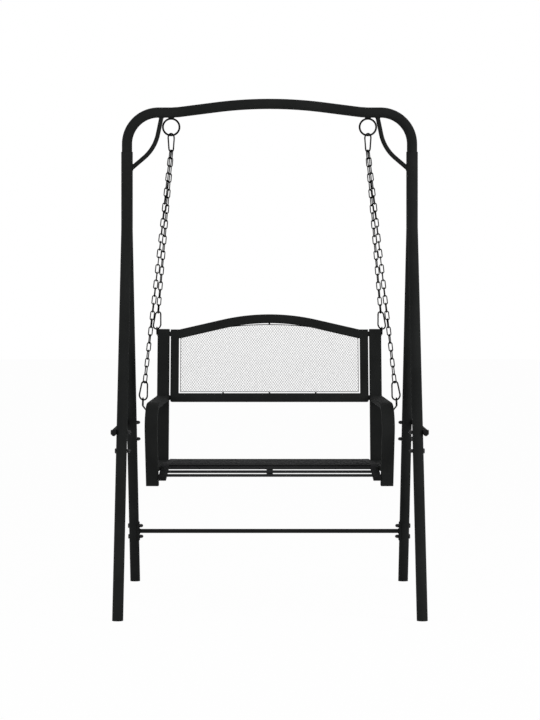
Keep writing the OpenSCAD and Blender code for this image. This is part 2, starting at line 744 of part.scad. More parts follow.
module back_frame() {
    color(black) difference() {
        back_sheet(back_depth) ring_sheet(0, back_face);
        back_sheet(back_depth - 2 * tube_wall) ring_sheet(tube_wall, back_face - tube_wall);
        for (side = [-1, 1]) back_plane() {
            translate([side * back_half_w / 2, 0, back_low - 1]) cylinder(h = 2 * tube_wall + 1, d = drain_d);
            for (v = back_bolt_v) x_hole(side * back_half_w, 0, v, back_face, small_bolt_d + 2 * seat_gap);
        }
    }
}
drain_d = 5;
back_bolt_v = [back_low + back_face / 2, back_top - back_face / 2];
wire_gap = back_face + border_inset;
module mesh_border() {
    color(dark) back_sheet(border_d) difference() {
        polygon(back_outline(wire_gap - border_d / 2, 1));
        polygon(back_outline(wire_gap + border_d / 2, 1));
    }
}
// Cuts a list of points off at the line x * nx + y * ny = limit.
function cut(pts, nx, ny, limit) = [
    for (i = [0:len(pts) - 1])
        let (
            a = pts[i],
            b = pts[(i + 1) % len(pts)],
            da = a[0] * nx + a[1] * ny - limit,
            db = b[0] * nx + b[1] * ny - limit,
            mid = a + (b - a) * (da == db ? 0 : da / (da - db))
        )
            each (da <= 0 ? (db <= 0 ? [b] : [mid]) : (db < 0 ? [mid, b] : []))
];
function cut_all(pts, lines, i = 0) =
    i == len(lines) || len(pts) < 3 ? pts : cut_all(cut(pts, lines[i][0], lines[i][1], lines[i][2]), lines, i + 1);
mesh_edge = wire_gap - border_d / 2;
mesh_field = mesh_edge + border_d;
hole_w = mesh_cell_w - mesh_strand * sqrt(1 + pow(mesh_cell_w / mesh_cell_h, 2));
hole_h = hole_w * mesh_cell_h / mesh_cell_w;
mesh_mid_v = back_low + mesh_field;
mesh_lines = concat(
    [[1, 0, back_half_w - mesh_field], [-1, 0, back_half_w - mesh_field], [0, -1, -back_low - mesh_field]],
    [for (a = [-arch_turn:arch_turn / 3:arch_turn * 1.01])
        [sin(a), cos(a), back_arch_v * cos(a) + (back_arch_r - mesh_field) * cos(arch_turn / 6)]]
);
mesh_cols = ceil(back_half_w / mesh_cell_w);
mesh_rows = ceil((back_arch_v + back_arch_r - back_low) / mesh_cell_h);
mesh_holes = [
    for (i = [-2 * mesh_cols:2 * mesh_cols], j = [0:2 * mesh_rows])
        if ((i + j) % 2 == 0)
            let (
                x = i * mesh_cell_w / 2,
                v = mesh_mid_v + j * mesh_cell_h / 2,
                hole = cut_all([[x + hole_w / 2, v], [x, v + hole_h / 2], [x - hole_w / 2, v], [x, v - hole_h / 2]],
                    mesh_lines)
            )
                if (len(hole) > 2 && hole_size(hole) > 6) hole
];
function hole_size(pts) = abs(sum_cross(pts)) / 2;
function sum_cross(p, i = 0) = i == len(p) ? 0 :
    p[i][0] * p[(i + 1) % len(p)][1] - p[(i + 1) % len(p)][0] * p[i][1] + sum_cross(p, i + 1);
module mesh_panel() {
    color(dark) back_sheet(mesh_t, (border_d + mesh_t) / 2 + seat_gap) difference() {
        polygon(back_outline(mesh_edge, 1));
        for (hole = mesh_holes) polygon(hole);
    }
}
module mesh_tab(x, v, up) {
    reach = border_inset - border_d / 2 - 2 * seat_gap;
    back_plane() translate([x - tab_w / 2, -border_d / 2, up ? v - reach : v])
        cube([tab_w, border_d, reach]);
}
module mesh_tabs() {
    low = back_low + back_face + seat_gap;
    crown = back_arch_v + back_arch_r - back_face - seat_gap;
    color(dark) {
        for (x = [-1, 0, 1] * tab_x) mesh_tab(x, low, false);
        mesh_tab(0, crown - tab_w * tab_w / back_arch_r, true);
    }
}
tab_x = 172;

// ---- bolts, spacers and plugs of the bench ----
small_bolt_d = 6;
small_head_d = 15;
small_head_t = 1.6;
spacer_d = 18;
rail_bolt_y = [-30, 30 - side_len];
module back_spacers() {
    color(dark) pair() for (v = back_bolt_v) back_plane()
        translate([-back_half_w - back_gap + seat_gap, 0, v]) rotate([0, 90, 0]) difference() {
            cylinder(h = back_gap - 2 * seat_gap, d = spacer_d);
            translate([0, 0, -1]) cylinder(h = back_gap + 2, d = small_bolt_d + 2 * seat_gap);
        }
}
module arm_bolt_hole() {
    post_frame() translate([0, 0, (arm_z - side_z) / cos(recline)]) rotate([90, 0, 0])
        cylinder(h = 4 * tube_t, d = small_bolt_d + 2 * seat_gap, center = true);
}
module small_bolt(len) {
    cylinder(h = len, d = small_bolt_d);
    translate([0, 0, -small_head_t]) cylinder(h = small_head_t, d = small_head_d);
}
module bench_bolts() {
    color(dark) pair() {
        for (v = back_bolt_v) post_frame() translate([-tube_w / 2 - seat_gap, 0, v])
            rotate([0, 90, 0]) small_bolt(tube_w + back_gap + back_face / 2);
        post_frame() translate([0, tube_t / 2 + seat_gap, (arm_z - side_z) / cos(recline)])
            rotate([90, 0, 0]) small_bolt(tube_t + arm_insert / 2);
        for (y = rail_bolt_y) side_frame() translate([-tube_w / 2 - seat_gap, y, rail_bolt_z])
            rotate([0, 90, 0]) small_bolt(tube_w + rail_gap + rail_w / 2);
    }
}
arm_insert = 30;
plug_t = 2;
plug_stem = 10;
// A plastic plug for a flat tube: its cap sits on the end at z = 0, and the stem goes down into the tube.
module tube_plug(w, t) {
    inset = 2 * (tube_wall + seat_gap);
    translate([0, 0, seat_gap]) linear_extrude(plug_t) polygon(rounded(w, t, tube_r));
    translate([0, 0, -plug_stem]) linear_extrude(plug_stem + seat_gap)
        polygon(rounded(w - inset, t - inset, tube_r - inset / 2));
}
module bench_plugs() {
    inset = 2 * (tube_wall + seat_gap);
    color(dark) pair() {
        post_frame() translate([0, 0, post_len]) tube_plug(tube_w, tube_t);
        post_frame() mirror([0, 0, 1]) tube_plug(tube_w, tube_t);
        arm_frame() translate([0, leg_top_y, leg_top_z]) rotate([180 + arm_leg_lean, 0, 0])
            translate([0, 0, arm_leg_len]) tube_plug(tube_w, tube_t);
        side_frame() translate([rail_axis, seat_rear_y + rail_rear - side_y, seat_z - rail_h / 2]) {
            rotate([-90, 0, 0]) tube_plug(rail_w, rail_h);
            turn_r = roll_r - rail_h / 2;
            translate([0, -rail_first - turn_r * sin(roll_slope), -turn_r * (1 - cos(roll_slope))])
                rotate([90 + roll_slope, 0, 0]) translate([0, 0, front_run]) tube_plug(rail_w, rail_h);
        }
        difference() {
            arm_frame() rotate([90 + arm_fall, 0, 0]) translate([0, 0, -tube_t]) linear_extrude(arm_insert + tube_t)
                polygon(rounded(tube_w - inset, tube_t - inset, tube_r - inset / 2));
            behind_post();
            arm_bolt_hole();
        }
    }
}

// ---- hooks ----
hook_r1 = (hook_w - hook_wire) / 2;
hook_r2 = (hook_narrow - hook_wire) / 2;
hook_axis = hook_len - hook_wire;
hook_d = hook_axis - hook_r1 - hook_r2;
hook_b = asin((hook_r1 - hook_r2) / hook_d);
hook_side = hook_d * cos(hook_b);
gate_pin_z = 4;
gate_slot = 2.8;
gate_tab = 2.4;
gate_tab_r = 2.3;
gate_rod_r = hook_wire / 2 - 0.15;
gate_start = gate_pin_z + 5.1;
gate_tip_gap = 0.4;
gate_pin_d = 2;
stub_len = 2 * gate_pin_z;

// A bent piece of the hook's wire in the X-Z plane, about a centre at height z.
module hook_arc(z, r, from, turn) {
    translate([0, 0, z]) rotate([90, 0, 0]) rotate([0, 0, from])
        rotate_extrude(angle = turn, $fn = 64) translate([r, 0]) circle(d = hook_wire, $fn = 24);
}
// Gate side of a hook: the origin is where the narrow bend ends, and Z runs towards the wide end.
module gate_side() {
    translate([0, 0, hook_r2 - hook_axis]) rotate([0, hook_b, 0]) translate([hook_r2, 0, 0]) children();
}
module hook_collar() {
    translate([0, 0, -collar_len / 4]) cylinder(h = collar_len / 2, d = hook_wire + 2 * collar_proud, $fn = 24);
}
module across(z, len, d) {
    translate([0, len / 2, z]) rotate([90, 0, 0]) cylinder(h = len, d = d, $fn = 24);
}
// A hook hangs in the X-Z plane from the middle of its wide bend at the origin.
module hook_shape() {
    difference() {
        union() {
            hook_arc(-hook_r1, hook_r1, -hook_b, 180 + 2 * hook_b);
            hook_arc(hook_r2 - hook_axis, hook_r2, 180 + hook_b, 180 - 2 * hook_b);
            mirror([1, 0, 0]) gate_side() {
                cylinder(h = hook_side, d = hook_wire, $fn = 24);
                hook_collar();
                translate([0, 0, hook_side]) hook_collar();
            }
            gate_side() {
                cylinder(h = stub_len, d = hook_wire, $fn = 24);
                hook_collar();
            }
        }
        gate_side() {
            translate([-hook_wire, -gate_slot / 2, gate_pin_z - gate_tab_r - 0.5])
                cube([2 * hook_wire, gate_slot, stub_len]);
            across(gate_pin_z, 2 * hook_wire, gate_pin_d + 2 * pin_play);
        }
    }
}
module gate_shape() {
    gate_side() difference() {
        union() {
            across(gate_pin_z, gate_tab, 2 * gate_tab_r);
            translate([-gate_tab_r, -gate_tab / 2, gate_pin_z])
                cube([2 * gate_tab_r, gate_tab, gate_start + 0.5 - gate_pin_z]);
            translate([0, 0, gate_start]) cylinder(h = hook_side - gate_start - gate_tip_gap, r = gate_rod_r, $fn = 24);
        }
        across(gate_pin_z, 2 * hook_wire, gate_pin_d + 2 * pin_play);
    }
}
module gate_pin() {
    gate_side() across(gate_pin_z, hook_wire - 0.4, gate_pin_d);
}

// ---- chain lines and lugs, left side ----
lug_wire = 5;
lug_r = 8;
lug_reach = 354;
lug_lift = 29;
lug_leg = 20;
lug_stand = 7;
lug_foot_turn = 40;
// Both kinds of lug lean the way their chain pulls.
front_lug_lean = 15.5;
rear_lug_leg = 17;
rear_lug_lean = 14;
rear_lug_z = 992;
lug_off = seat_gap + lug_wire / 2;
top_hook_z = pivot_z + ring_wire / 2 + hang_gap + hook_wire / 2;
hook_low_z = top_hook_z - hook_axis;
front_lug_off = lug_off + lug_stand;
front_lug = [
    -post_x - (tube_w / 2 + front_lug_off) * cos(arm_splay) - lug_reach * sin(arm_splay),
    arm_y + (tube_w / 2 + front_lug_off) * sin(arm_splay) - lug_reach * cos(arm_splay),
    arm_z - lug_reach * tan(arm_fall) + lug_lift
];
rear_lug = [
    -post_x - tube_w / 2 - lug_off,
    post_y(rear_lug_z - rear_lug_leg) - rear_lug_leg * tan(rear_lug_lean),
    rear_lug_z
];
function chain_top(rear) = [-ring_x, 0, hook_low_z]
    + (rear ? 1 : -1) * chain_side * [cos(hook_turn), sin(hook_turn), 0];
function chain_low(rear) = rear ? rear_lug : front_lug;
function chain_dir(rear) = (chain_low(rear) - chain_top(rear)) / norm(chain_low(rear) - chain_top(rear));
function azimuth(d) = atan2(d[1], d[0]);
function tilt(d) = atan2(norm([d[0], d[1]]), -d[2]);
// Local -Z runs along d, and local X points to a compass angle.
module along(d, turn) {
    rotate([0, 0, azimuth(d)]) rotate([0, -tilt(d), 0]) rotate([0, 0, turn - azimuth(d)]) children();
}
// How far a lower hook's wire sits below its lug's wire, and how far the end links sit inside the hooks.
hook_rise = 5.9;
first_rise = 6.1;
last_rise = 5.2;
function low_hook(rear) = chain_low(rear) + hook_rise * chain_dir(rear);
module low_hook_place(rear) {
    d = chain_dir(rear);
    turn = rear ? rear_hook_turn : front_hook_turn;
    translate(low_hook(rear)) rotate([0, 0, azimuth(d)]) rotate([0, 180 - tilt(d), 0])
        rotate([0, 0, azimuth(d) + 180 - turn]) children();
}
module top_hook_place() {
    translate([-ring_x, 0, top_hook_z]) rotate([0, 0, hook_turn]) children();
}
link_lap = link_wire + link_play;
link_r = (link_w - link_wire) / 2;
function chain_len(rear) = norm(low_hook(rear) - chain_top(rear)) - hook_axis + first_rise + last_rise;
function links(rear) = round((chain_len(rear) - link_lap) / link_pitch);
function pitch(rear) = (chain_len(rear) - link_lap) / links(rear);
module link(len) {
    for (end = [0, 1]) translate([0, 0, end ? link_r - len : -link_r]) rotate([90, 0, 0]) rotate([0, 0, 180 * end])
        rotate_extrude(angle = 180, $fn = 32) translate([link_r, 0]) circle(d = link_wire, $fn = 16);
    for (side = [-1, 1]) translate([side * link_r, 0, link_r - len])
        cylinder(h = len - 2 * link_r, d = link_wire, $fn = 16);
}
first_turn = 120;
function last_turn(rear) = rear ? 108 : 155;
// Each link turns by about a right angle, and the last one always ends up the same way round.
function link_turn(rear) =
    let (
        n = links(rear) - 1,
        more = last_turn(rear) - first_turn
    )
        (more + 180 * round((90 * n - more) / 180)) / n;
module chain(rear) {
    d = chain_dir(rear);
    n = links(rear);
    p = pitch(rear);
    color(dark) for (i = [0:n - 1]) translate(chain_top(rear) + (i * p - first_rise) * d)
        along(d, first_turn + i * link_turn(rear)) link(p + link_lap);
}
module lug(leg) {
    translate([0, 0, -lug_r]) rotate([90, 0, 90]) rotate_extrude(angle = 180, $fn = 48)
        translate([lug_r, 0]) circle(d = lug_wire, $fn = 24);
    for (side = [-1, 1]) translate([0, side * lug_r, -lug_r - leg]) cylinder(h = leg, d = lug_wire, $fn = 24);
}
// The feet of the front lugs turn in towards the arm and end flat on its side.
module lug_foot() {
    sphere(d = lug_wire + 2 * collar_proud, $fn = 24);
    rotate([0, 180 - lug_foot_turn, 0]) cylinder(h = 2 * front_lug_off, d = lug_wire, $fn = 24);
}
module front_lugs() {
    color(black) pair() translate(front_lug) rotate([0, 0, -arm_splay]) rotate([-front_lug_lean, 0, 0])
        difference() {
            union() {
                lug(lug_leg);
                for (side = [-1, 1]) translate([0, side * lug_r, -lug_r - lug_leg]) lug_foot();
            }
            translate([front_lug_off - seat_gap, -tube_w, -3 * tube_w]) cube([2 * tube_w, 2 * tube_w, 3 * tube_w]);
        }
}
module rear_lugs() {
    color(black) pair() translate(rear_lug) rotate([rear_lug_lean, 0, 0]) lug(rear_lug_leg);
}
module gate_pins() {
    color(dark) pair() {
        top_hook_place() gate_pin();
        low_hook_place(false) gate_pin();
        low_hook_place(true) gate_pin();
    }
}

top_bar();
eye_rings();
mirrored(-1) leg_head();  // leg_head_left
mirrored(1) leg_head();  // leg_head_right
mirrored(-1) corner_brace();  // corner_brace_left
mirrored(1) corner_brace();  // corner_brace_right
mirrored(-1) upper_leg(-1);  // upper_leg_front_left
mirrored(1) upper_leg(-1);  // upper_leg_front_right
mirrored(-1) upper_leg(1);  // upper_leg_rear_left
mirrored(1) upper_leg(1);  // upper_leg_rear_right
mirrored(-1) lower_leg(-1);  // lower_leg_front_left
mirrored(1) lower_leg(-1);  // lower_leg_front_right
mirrored(-1) lower_leg(1);  // lower_leg_rear_left
mirrored(1) lower_leg(1);  // lower_leg_rear_right
foot_plugs();
mirrored(-1) side_stretcher();  // side_stretcher_left
mirrored(1) side_stretcher();  // side_stretcher_right
stretcher_caps();
rear_crossbar();
crossbar_saddles();
stand_bolts();
stand_dome_nuts();
mirrored(-1) color(black) top_hook_place() hook_shape();  // top_hook_left
mirrored(1) color(black) top_hook_place() hook_shape();  // top_hook_right
mirrored(-1) color(black) low_hook_place(false) hook_shape();  // front_hook_left
mirrored(1) color(black) low_hook_place(false) hook_shape();  // front_hook_right
mirrored(-1) color(black) low_hook_place(true) hook_shape();  // rear_hook_left
mirrored(1) color(black) low_hook_place(true) hook_shape();  // rear_hook_right
mirrored(-1) color(black) top_hook_place() gate_shape();  // gate_top_left
mirrored(1) color(black) top_hook_place() gate_shape();  // gate_top_right
mirrored(-1) color(black) low_hook_place(false) gate_shape();  // gate_front_left
mirrored(1) color(black) low_hook_place(false) gate_shape();  // gate_front_right
mirrored(-1) color(black) low_hook_place(true) gate_shape();  // gate_rear_left
mirrored(1) color(black) low_hook_place(true) gate_shape();  // gate_rear_right
gate_pins();
mirrored(-1) chain(false);  // front_chain_left
mirrored(1) chain(false);  // front_chain_right
mirrored(-1) chain(true);  // rear_chain_left
mirrored(1) chain(true);  // rear_chain_right
front_lugs();
rear_lugs();
mirrored(-1) back_post();  // back_post_left
mirrored(1) back_post();  // back_post_right
mirrored(-1) arm();  // arm_left
mirrored(1) arm();  // arm_right
mirrored(-1) side_tube();  // side_tube_left
mirrored(1) side_tube();  // side_tube_right
mirrored(-1) seat_rail();  // seat_rail_left
mirrored(1) seat_rail();  // seat_rail_right
rear_seat_beam();
front_seat_strap();
centre_support();
seat_slats();
back_frame();
mesh_panel();
mesh_border();
mesh_tabs();
back_spacers();
bench_bolts();
bench_plugs();
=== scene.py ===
import math

import bpy
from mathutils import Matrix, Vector


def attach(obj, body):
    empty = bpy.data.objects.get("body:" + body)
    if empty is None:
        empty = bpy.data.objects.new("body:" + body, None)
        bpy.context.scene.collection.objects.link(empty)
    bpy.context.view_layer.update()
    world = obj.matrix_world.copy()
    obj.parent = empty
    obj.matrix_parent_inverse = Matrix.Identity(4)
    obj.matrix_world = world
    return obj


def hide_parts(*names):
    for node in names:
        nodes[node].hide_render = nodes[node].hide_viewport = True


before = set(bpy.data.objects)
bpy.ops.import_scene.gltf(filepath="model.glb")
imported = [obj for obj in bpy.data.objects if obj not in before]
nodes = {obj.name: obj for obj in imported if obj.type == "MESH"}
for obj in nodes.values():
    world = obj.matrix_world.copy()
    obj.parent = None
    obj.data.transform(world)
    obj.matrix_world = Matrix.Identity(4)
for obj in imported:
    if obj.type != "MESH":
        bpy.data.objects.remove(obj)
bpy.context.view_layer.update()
print("frame loaded:", len(nodes), "nodes")


# camera, floor and light

view = {
    "place": (-0.023, -8.518, 1.1276),  # metres
    "lens": 116.5,
    "sensor": 36,
    "shift": (0.0094, -0.0958),
    "farEnd": 200,
}
bpy.ops.object.select_all(action="DESELECT")
bpy.ops.object.camera_add(location=view["place"], rotation=(math.pi / 2, 0, 0))
camera = bpy.context.object
camera.data.lens = view["lens"]
camera.data.sensor_width = view["sensor"]
camera.data.shift_x, camera.data.shift_y = view["shift"]
camera.data.clip_end = view["farEnd"]
bpy.context.scene.camera = camera
bpy.context.scene.view_settings.view_transform = "Standard"


# shader maths

class Socket:
    def __init__(self, tree, link):
        self.tree = tree
        self.link = link

    def node(self, kind, settings=None, inputs=None, out=0):
        new = self.tree.nodes.new(kind)
        for key, value in (settings or {}).items():
            if key == "stops":
                ramp = new.color_ramp
                for at, (place, colour) in enumerate(value):
                    stop = ramp.elements[at] if at < len(ramp.elements) else ramp.elements.new(place)
                    stop.position, stop.color = place, colour
            else:
                setattr(new, key, value)
        for key, value in (inputs or {}).items():
            if isinstance(value, Socket):
                self.tree.links.new(value.link, new.inputs[key])
            else:
                new.inputs[key].default_value = value
        return Socket(self.tree, new.outputs[out])

    def math(self, operation, a, b=0.0):
        return self.node("ShaderNodeMath", {"operation": operation}, {0: a, 1: b})

    def __add__(self, other):
        return self.math("ADD", self, other)

    def __radd__(self, other):
        return self.math("ADD", other, self)

    def __mul__(self, other):
        return self.math("MULTIPLY", self, other)

    def __rmul__(self, other):
        return self.math("MULTIPLY", other, self)


def newMaterial(name):
    material = bpy.data.materials.new(name)
    material.use_nodes = True
    tree = material.node_tree
    tree.nodes.clear()
    return material, Socket(tree, None)


grain = {  # cloud and dust are the same in every coat, the peel has its own scale in each
    "cloudScale": 9.0,
    "cloudDetail": 3.0,
    "dustScale": 240.0,
    "dustDetail": 2.0,
    "peelDetail": 1.5,
    "cloudInTone": 0.75,
    "cloudInRough": 0.5,
    "toneStops": (0.34, 0.68),
    "bumpStrength": 0.55,
}


def coatMaterial(name, dark, light, roughLow, roughHigh, peelScale, peelHeight, specular):
    material, make = newMaterial(name)
    place = make.node("ShaderNodeTexCoord", out="Object")
    cloud = make.node(
        "ShaderNodeTexNoise",
        None,
        {"Vector": place, "Scale": grain["cloudScale"], "Detail": grain["cloudDetail"]},
    )
    dust = make.node(
        "ShaderNodeTexNoise",
        None,
        {"Vector": place, "Scale": grain["dustScale"], "Detail": grain["dustDetail"]},
    )
    peel = make.node(
        "ShaderNodeTexNoise",
        None,
        {"Vector": place, "Scale": peelScale, "Detail": grain["peelDetail"]},
    )
    toneMix = cloud * grain["cloudInTone"] + dust * (1 - grain["cloudInTone"])
    roughMix = cloud * grain["cloudInRough"] + dust * (1 - grain["cloudInRough"])
    stops = list(zip(grain["toneStops"], (dark, light)))
    tone = make.node("ShaderNodeValToRGB", {"stops": stops}, {"Fac": toneMix})
    rough = roughLow + (roughHigh - roughLow) * roughMix
    bump = make.node(
        "ShaderNodeBump",
        None,
        {"Strength": grain["bumpStrength"], "Distance": peelHeight, "Height": peel},
    )
    shader = make.node(
        "ShaderNodeBsdfPrincipled",
        None,
        {"Base Color": tone, "Roughness": rough, "Normal": bump, "Specular IOR Level": specular},
    )
    out = make.tree.nodes.new("ShaderNodeOutputMaterial")
    make.tree.links.new(shader.link, out.inputs["Surface"])
    return material


coat = {  # powder coat of the tubes
    "dark": (0.0122, 0.0129, 0.0126, 1),
    "light": (0.0178, 0.0187, 0.0183, 1),
    "roughLow": 0.64,
    "roughHigh": 0.78,
    "peelScale": 620,
    "peelHeight": 0.00003,
    "specular": 0.025,
}
seatCoatPaintedLight = {  # a little paler than the tubes: painted light, the tubes' own coat lightened for the light falling on the seat's upward faces
    "dark": (0.0145, 0.0148, 0.0154, 1),
    "light": (0.0195, 0.0199, 0.0206, 1),
    "roughLow": 0.62,
    "roughHigh": 0.74,
    "peelScale": 620,
    "peelHeight": 0.00003,
    "specular": 0.025,
}
wireCoat = {  # chains, hooks, rings and the mesh
    "dark": (0.0035, 0.0035, 0.0035, 1),
    "light": (0.006, 0.006, 0.006, 1),
    "roughLow": 0.56,
    "roughHigh": 0.66,
    "peelScale": 900,
    "peelHeight": 0.00002,
    "specular": 0.03,
}
plasticCoat = {  # plugs, caps and spacers
    "dark": (0.006, 0.006, 0.0063, 1),
    "light": (0.009, 0.009, 0.0094, 1),
    "roughLow": 0.55,
    "roughHigh": 0.66,
    "peelScale": 1400,
    "peelHeight": 0.00004,
    "specular": 0.08,
}
boltCoat = {  # bolt heads and dome nuts, a little shinier
    "dark": (0.0125, 0.0125, 0.013, 1),
    "light": (0.019, 0.019, 0.0195, 1),
    "roughLow": 0.26,
    "roughHigh": 0.36,
    "peelScale": 1100,
    "peelHeight": 0.00001,
    "specular": 0.2,
}
coatBlack = coatMaterial("coatBlack", **coat)
# the seat's coat is painted light: a paler copy of the tube coat, standing in for the top light on the seat
seatBlackPaintedLight = coatMaterial("seatBlackPaintedLight", **seatCoatPaintedLight)
wireBlack = coatMaterial("wireBlack", **wireCoat)
plasticBlack = coatMaterial("plasticBlack", **plasticCoat)
boltDark = coatMaterial("boltDark", **boltCoat)
print("materials made")


def wear(obj, material):
    obj.data.materials.clear()
    obj.data.materials.append(material)


def seenPath(make):
    paths = make.tree.nodes.new("ShaderNodeLightPath").outputs
    seen, glossy, through = (
        Socket(make.tree, paths[kind]) for kind in ("Is Camera Ray", "Is Glossy Ray", "Is Transmission Ray")
    )
    return seen.math("MAXIMUM", seen.math("MAXIMUM", seen, glossy), through)


white = (1, 1, 1, 1)
floor = {
    "size": 60,
    "colour": (0.93, 0.93, 0.93, 1),
    "lift": 0.97,  # share of plain white, the rest takes the shadow
}
bpy.ops.mesh.primitive_plane_add(size=floor["size"], location=(0, 0, 0))
ground = bpy.context.object
ground.name = "ground"
material, make = newMaterial("groundPale")
path = seenPath(make)
matt = make.node("ShaderNodeBsdfDiffuse", None, {"Color": floor["colour"]})
glow = make.node("ShaderNodeEmission", None, {"Color": white, "Strength": 1.0})
mixed = make.node("ShaderNodeMixShader", None, {0: path * floor["lift"], 1: matt, 2: glow})
out = make.tree.nodes.new("ShaderNodeOutputMaterial")
make.tree.links.new(mixed.link, out.inputs["Surface"])
wear(ground, material)

studio = {"ambient": 0.5}
world = bpy.data.worlds.new("studio")
bpy.context.scene.world = world
world.use_nodes = True
world.node_tree.nodes.clear()
make = Socket(world.node_tree, None)
path = seenPath(make)
strength = studio["ambient"] + (1 - studio["ambient"]) * path
sky = make.node("ShaderNodeBackground", None, {"Color": white, "Strength": strength})
out = make.tree.nodes.new("ShaderNodeOutputWorld")
make.tree.links.new(sky.link, out.inputs["Surface"])


def softLight(name, place, target, size, power):
    bpy.ops.object.light_add(type="AREA", location=place)
    lamp = bpy.context.object
    lamp.name = name
    lamp.data.shape = "RECTANGLE"
    lamp.data.size, lamp.data.size_y = size
    lamp.data.energy = power
    aim = Vector(target) - Vector(place)
    lamp.rotation_euler = aim.to_track_quat("-Z", "Y").to_euler()


lamps = {  # sizes in metres, power in watts
    "above": {"place": (0.3, -0.6, 4.6), "target": (0, 0, 0.8), "size": (3.4, 3.0), "power": 12},
    "right": {"place": (4.2, -2.2, 2.4), "target": (0, 0, 0.9), "size": (2.2, 2.8), "power": 105},
    "left": {"place": (-4.4, -3.0, 2.2), "target": (0, 0, 0.9), "size": (2.2, 2.8), "power": 75},
}
for name, lamp in lamps.items():
    softLight(name, **lamp)
print("studio made")


# modelling helpers

def deselect():
    if bpy.context.mode != "OBJECT":
        bpy.ops.object.mode_set(mode="OBJECT")
    bpy.ops.object.select_all(action="DESELECT")


def pick(obj):
    deselect()
    obj.select_set(True)
    bpy.context.view_layer.objects.active = obj
    return obj


def applyAll(obj):
    pick(obj)
    bpy.ops.object.transform_apply(location=True, rotation=True, scale=True)
    return obj


def addModifier(obj, kind, **settings):
    pick(obj)
    modifier = obj.modifiers.new(kind.lower(), kind)
    for key, value in settings.items():
        setattr(modifier, key, value)
    bpy.ops.object.modifier_apply(modifier=modifier.name)
    return obj


def joinAll(parts):
    deselect()
    for part in parts:
        part.select_set(True)
    bpy.context.view_layer.objects.active = parts[0]
    bpy.ops.object.join()
    return bpy.context.object


def newCurve(name, dimensions, radius, resolution):
    curve = bpy.data.curves.new(name, "CURVE")
    curve.dimensions = dimensions
    curve.bevel_depth = radius
    curve.bevel_resolution = resolution
    return curve


def addLine(curve, points, closed=False):
    spline = curve.splines.new("POLY")
    spline.points.add(len(points) - 1)
    spline.use_cyclic_u = closed
    for dot, point in zip(spline.points, points):
        dot.co = (*point, 1)
    return spline


def meshOf(curve):
    obj = bpy.data.objects.new(curve.name, curve)
    bpy.context.collection.objects.link(obj)
    pick(obj)
    bpy.ops.object.convert(target="MESH")
    return bpy.context.object


mergeDistance = 0.000002


def finishPiece(obj, name, body, material, replaced=(), smooth=35, outward=True):
    pick(obj)
    if outward:
        bpy.ops.object.mode_set(mode="EDIT")
        bpy.ops.mesh.select_all(action="SELECT")
        bpy.ops.mesh.remove_doubles(threshold=mergeDistance)
        bpy.ops.mesh.normals_make_consistent(inside=False)
        bpy.ops.object.mode_set(mode="OBJECT")
    if smooth:
        bpy.ops.object.shade_smooth_by_angle(angle=math.radians(smooth))
    obj.name = obj.data.name = name
    wear(obj, material)
    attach(obj, body)
    if replaced:
        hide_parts(*replaced)
    return obj


def selectWhere(obj, test):
    pick(obj)
    bpy.ops.object.mode_set(mode="EDIT")
    bpy.ops.mesh.select_mode(type="FACE")
    bpy.ops.mesh.select_all(action="DESELECT")
    bpy.ops.object.mode_set(mode="OBJECT")
    for face in obj.data.polygons:
        face.select = test(face.center)
    bpy.ops.object.mode_set(mode="EDIT")


# the back: fine mesh, border wire and frame

back = {  # heights run up the leaning back, from the foot of its posts
    "foot": (0.0738, 0.485),
    "recline": 11.7,  # degrees
    "halfWidth": 0.3678,
    "low": 0.237,
    "archRadius": 0.770,
    "archHalf": 0.175,
    "cornerHeight": 0.5085,
    "shoulder": 0.335,
    "face": 0.031,
    "depth": 0.020,
    "wireInset": 0.0375,
    "wireArch": 1.3,  # a flatter arch than the frame's
    "wireSteps": 20,
    "blank": 1.4,  # the sheet that the wire's outline is cut from
    "blankHeight": 0.4,
}
archTurn = math.asin(back["archHalf"] / back["archRadius"])
archCentre = (
    back["cornerHeight"]
    + (back["shoulder"] - back["archHalf"]) * math.tan(archTurn)
    - back["archRadius"] * math.cos(archTurn)
)


def placeOnBack(obj):
    pick(obj)
    obj.rotation_euler = (-math.radians(back["recline"]), 0, 0)
    obj.location = (0, back["foot"][0], back["foot"][1])
    return applyAll(obj)


def cutAway(place, normal):
    bpy.ops.mesh.select_all(action="SELECT")
    bpy.ops.mesh.bisect(plane_co=place, plane_no=normal, clear_outer=True)


def trimToWire():
    inset, reach, arcSteps = back["wireInset"], back["wireArch"], back["wireSteps"]
    wide = back["halfWidth"] - inset
    cutAway((wide, 0, 0), (1, 0, 0))
    cutAway((-wide, 0, 0), (-1, 0, 0))
    cutAway((0, 0, back["low"] + inset), (0, 0, -1))
    centre = archCentre + back["archRadius"] - inset - reach
    half = math.asin(wide / reach)
    for step in range(arcSteps):
        turn = half * ((2 * step + 1) / arcSteps - 1)
        flat = reach * math.cos(half / arcSteps)
        outwards = (math.sin(turn), 0, math.cos(turn))
        cutAway((flat * outwards[0], 0, centre + flat * outwards[2]), outwards)


def wireOutline():
    deselect()
    bpy.ops.mesh.primitive_plane_add(
        size=back["blank"], location=(0, 0, back["blankHeight"]), rotation=(math.pi / 2, 0, 0)
    )
    obj = applyAll(bpy.context.object)
    bpy.ops.object.mode_set(mode="EDIT")
    trimToWire()
    bpy.ops.object.mode_set(mode="OBJECT")
    return obj


lattice = {  # diamonds, cut to the border wire's outline
    "cell": (0.0091, 0.0121),
    "strand": 0.0012,
    "behind": 0.002,
    "middle": 0.402,
    "fill": 0.4,  # the height that the cells fill, with some to spare
}


